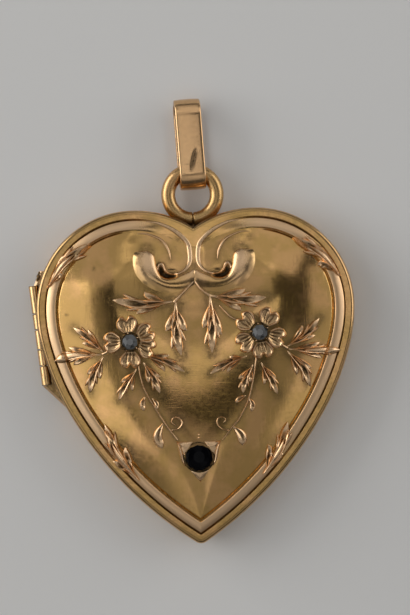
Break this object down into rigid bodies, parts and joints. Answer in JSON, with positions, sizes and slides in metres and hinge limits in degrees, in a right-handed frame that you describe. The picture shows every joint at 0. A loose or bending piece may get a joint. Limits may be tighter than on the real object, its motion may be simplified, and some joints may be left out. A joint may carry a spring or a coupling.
{
  "type": "heart photo locket",
  "caption": "Hinged gold heart locket with a pillowed, leaf-and-flower relief front, three small set stones, a soldered ring and a strap bail.",
  "frame": {"origin": "middle of the heart's flat back, on its middle line", "axes": "+Z from the back to the ornamented front, +Y along the middle line towards the ring and bail, +X to the wearer's view right, away from the hinge"},
  "size_m": [0.0325, 0.0445, 0.0061],
  "materials": {
    "case_gold": "satin, lightly worn",
    "cover_gold": "satin ground, bright-cut relief, tarnish in the grooves",
    "bail_gold": "polished, worn",
    "diamond": "rose cut, grey",
    "dark_gem": "faceted, nearly black"
  },
  "bodies": {
    "case": {"back_case": "case_gold", "hinge_pin": "case_gold"},
    "lid": {"front_lid": "cover_gold", "left_diamond": "diamond", "right_diamond": "diamond", "dark_stone": "dark_gem"},
    "bail": {"bail": "bail_gold"}
  },
  "joints": [
    {"name": "lid_hinge", "type": "hinge", "parent": "case", "child": "lid", "pos_m": [-0.01558, 0.00515, 0.0026], "axis": [0.1097, -0.994, 0], "range_deg": [0, 150]},
    {"name": "bail_swing", "type": "hinge", "parent": "case", "child": "bail", "pos_m": [0, 0.02104, 0.0018], "axis": [0.9961, 0.0538, -0.0699], "range_deg": [-124, 132]}
  ]
}
